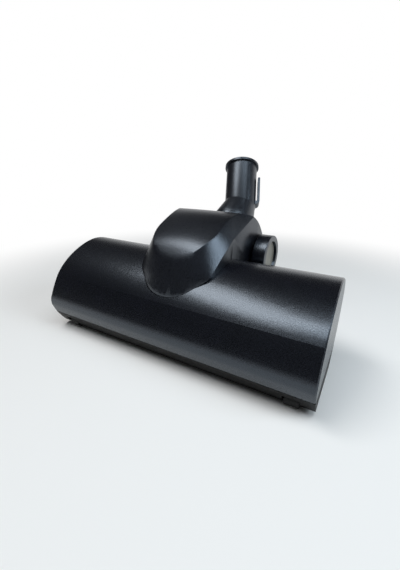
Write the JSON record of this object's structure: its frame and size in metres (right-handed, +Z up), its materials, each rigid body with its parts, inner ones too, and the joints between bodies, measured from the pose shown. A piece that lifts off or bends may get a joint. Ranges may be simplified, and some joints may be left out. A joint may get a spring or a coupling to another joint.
{
  "type": "vacuum turbo brush",
  "caption": "Air-driven floor brush: wide domed head with a brush roller below, raised turbine hood, tilting neck between round hubs and a swivelling elbow with a wand socket.",
  "frame": {"origin": "on the floor under the middle of the whole part", "axes": "+X along the brush roller to the right seen from the front, +Y to the back where the elbow leaves, +Z up"},
  "size_m": [0.285, 0.2248, 0.1807],
  "materials": {
    "cover_plastic": "satin, fine grain",
    "hood_plastic": "satin, fine grain",
    "base_plastic": "matte",
    "housing_plastic": "matte",
    "guard_plastic": "matte",
    "roller_plastic": "smooth",
    "nylon_bristle": "fibrous",
    "pulley_plastic": "matte",
    "turbine_plastic": "smooth",
    "pinion_brass": "turned",
    "neck_plastic": "satin, fine grain",
    "tube_plastic": "satin, fine grain",
    "ring_plastic": "matte",
    "hub_plastic": "satin",
    "wheel_plastic": "matte",
    "belt_rubber": "matte",
    "lint_fabric": "short pile",
    "screw_steel": "zinc plated",
    "axle_steel": "ground",
    "bearing_bronze": "sintered"
  },
  "bodies": {
    "head": {"top_cover": "cover_plastic", "turbine_hood": "hood_plastic", "base_plate": "base_plastic", "turbine_housing": "housing_plastic", "drive_belt": "belt_rubber", "belt_guard": "guard_plastic", "lint_strip": "lint_fabric", "base_screws": "screw_steel", "roller_bearing_left": "bearing_bronze", "roller_bearing_right": "bearing_bronze", "turbine_bearing_left": "bearing_bronze", "turbine_bearing_right": "bearing_bronze", "front_axle_left": "axle_steel", "front_axle_right": "axle_steel", "rear_axle_left": "axle_steel", "rear_axle_right": "axle_steel"},
    "brush_roller": {"roller_core": "roller_plastic", "bristles_left": "nylon_bristle", "bristles_right": "nylon_bristle", "roller_pulley": "pulley_plastic", "roller_axle": "axle_steel"},
    "turbine": {"turbine_wheel": "turbine_plastic", "turbine_axle": "axle_steel", "turbine_pinion": "pinion_brass"},
    "neck": {"neck": "neck_plastic", "neck_hub_left": "hub_plastic", "neck_hub_right": "hub_plastic"},
    "elbow": {"elbow_tube": "tube_plastic", "swivel_ring": "ring_plastic"},
    "front_roller_left": {"front_roller_left": "wheel_plastic"},
    "front_roller_right": {"front_roller_right": "wheel_plastic"},
    "rear_wheel_left": {"rear_wheel_left": "wheel_plastic"},
    "rear_wheel_right": {"rear_wheel_right": "wheel_plastic"}
  },
  "joints": [
    {"name": "roller_spin", "type": "hinge", "parent": "head", "child": "brush_roller", "pos_m": [0, -0.06953, 0.026], "axis": [1, 0, 0], "continuous": true},
    {"name": "turbine_spin", "type": "hinge", "parent": "head", "child": "turbine", "pos_m": [0, -0.03252, 0.08], "axis": [1, 0, 0], "continuous": true},
    {"name": "neck_tilt", "type": "hinge", "parent": "head", "child": "neck", "pos_m": [0, 0.01847, 0.081], "axis": [1, 0, 0], "range_deg": [-25, 45]},
    {"name": "elbow_swivel", "type": "hinge", "parent": "neck", "child": "elbow", "pos_m": [0, 0.01847, 0.081], "axis": [0, 0.7361, 0.6769], "continuous": true},
    {"name": "front_roller_left_roll", "type": "hinge", "parent": "head", "child": "front_roller_left", "pos_m": [-0.124, -0.09452, 0.006], "axis": [1, 0, 0], "continuous": true},
    {"name": "rear_wheel_left_roll", "type": "hinge", "parent": "head", "child": "rear_wheel_left", "pos_m": [-0.0383, 0.01947, 0.011], "axis": [1, 0, 0], "continuous": true},
    {"name": "front_roller_right_roll", "type": "hinge", "parent": "head", "child": "front_roller_right", "pos_m": [0.124, -0.09452, 0.006], "axis": [1, 0, 0], "continuous": true},
    {"name": "rear_wheel_right_roll", "type": "hinge", "parent": "head", "child": "rear_wheel_right", "pos_m": [0.0383, 0.01947, 0.011], "axis": [1, 0, 0], "continuous": true}
  ],
  "couplings": [
    {"joint": "turbine_spin", "follows": "roller_spin", "ratio": 2}
  ]
}
